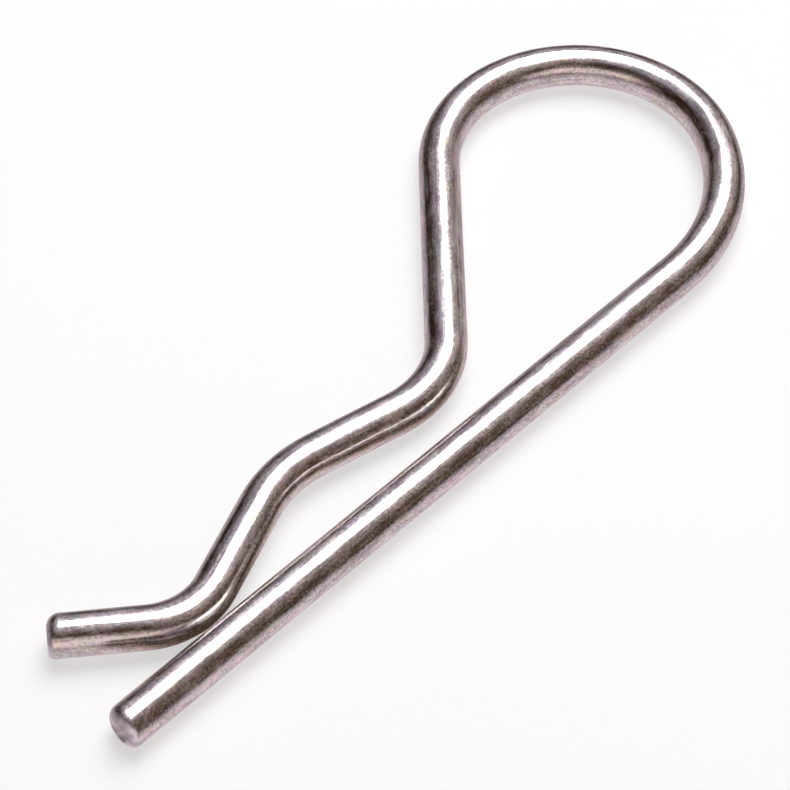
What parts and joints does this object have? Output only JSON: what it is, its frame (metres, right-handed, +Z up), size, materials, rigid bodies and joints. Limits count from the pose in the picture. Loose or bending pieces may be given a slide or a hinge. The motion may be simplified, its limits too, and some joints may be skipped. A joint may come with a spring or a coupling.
{
  "type": "hitch pin clip",
  "caption": "Spring wire clip with a straight leg for a shaft's cross hole, a waved sprung leg that grips the outside, and a round pull eye.",
  "frame": {"origin": "centre of the clip's outline, on the surface that it lies on", "axes": "+X along the straight leg from the free ends to the eye, +Y from the straight leg to the sprung leg, +Z up, across the flat of the clip"},
  "size_m": [0.087, 0.032, 0.0038],
  "materials": {
    "spring_steel": "bright drawn spring wire, polished, with fine lengthwise drawing lines"
  },
  "bodies": {
    "root": {"clip_wire": "spring_steel"}
  },
  "joints": []
}
